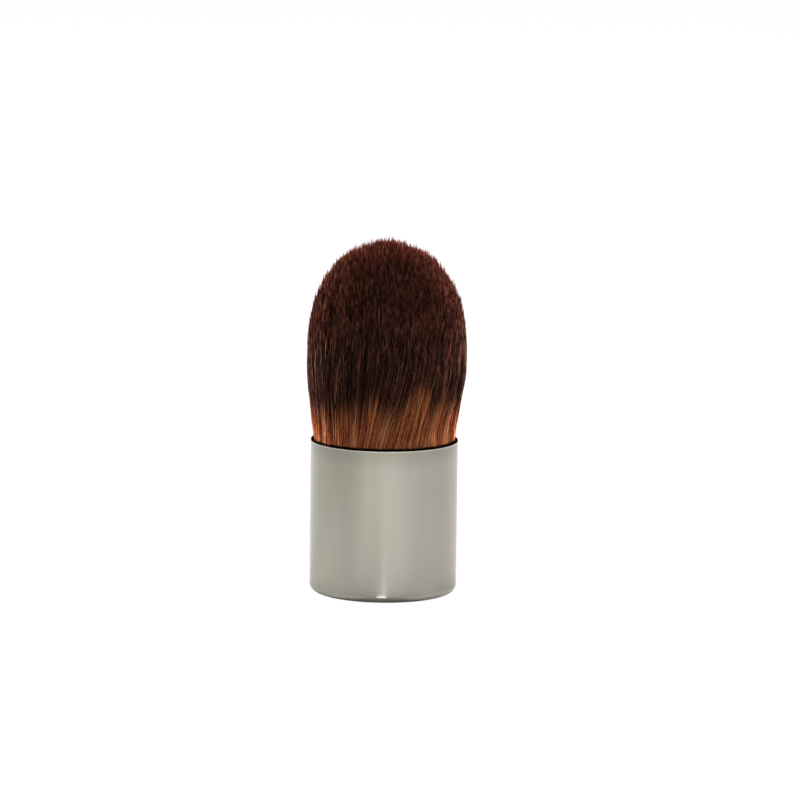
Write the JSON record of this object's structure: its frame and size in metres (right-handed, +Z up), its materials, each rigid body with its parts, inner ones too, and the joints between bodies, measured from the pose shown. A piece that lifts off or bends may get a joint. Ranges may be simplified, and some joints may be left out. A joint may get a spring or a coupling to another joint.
{
  "type": "kabuki makeup brush",
  "caption": "Short fist-held makeup brush: a weighted drawn metal cup carries a dense domed tuft of two-colour synthetic fibre.",
  "frame": {"origin": "centre of the flat face that the cup stands on", "axes": "+Z up along the brush's axis to the top of the tuft; the picture looks along +Y"},
  "size_m": [0.032, 0.032, 0.0731],
  "materials": {
    "cup_metal": "satin",
    "insert_plastic": "matte",
    "adhesive": "satin",
    "ballast_steel": "satin",
    "foam": "matte",
    "sleeve_metal": "satin",
    "epoxy": "gloss",
    "thread": "matte",
    "bristle": "soft sheen"
  },
  "bodies": {
    "root": {"outer_cup": "cup_metal", "inner_cup": "insert_plastic", "adhesive_bead": "adhesive", "ballast_disc": "ballast_steel", "foam_pad": "foam", "tuft_ring": "sleeve_metal", "root_block": "epoxy", "binding_thread": "thread", "bristle_tuft": "bristle"}
  },
  "joints": []
}
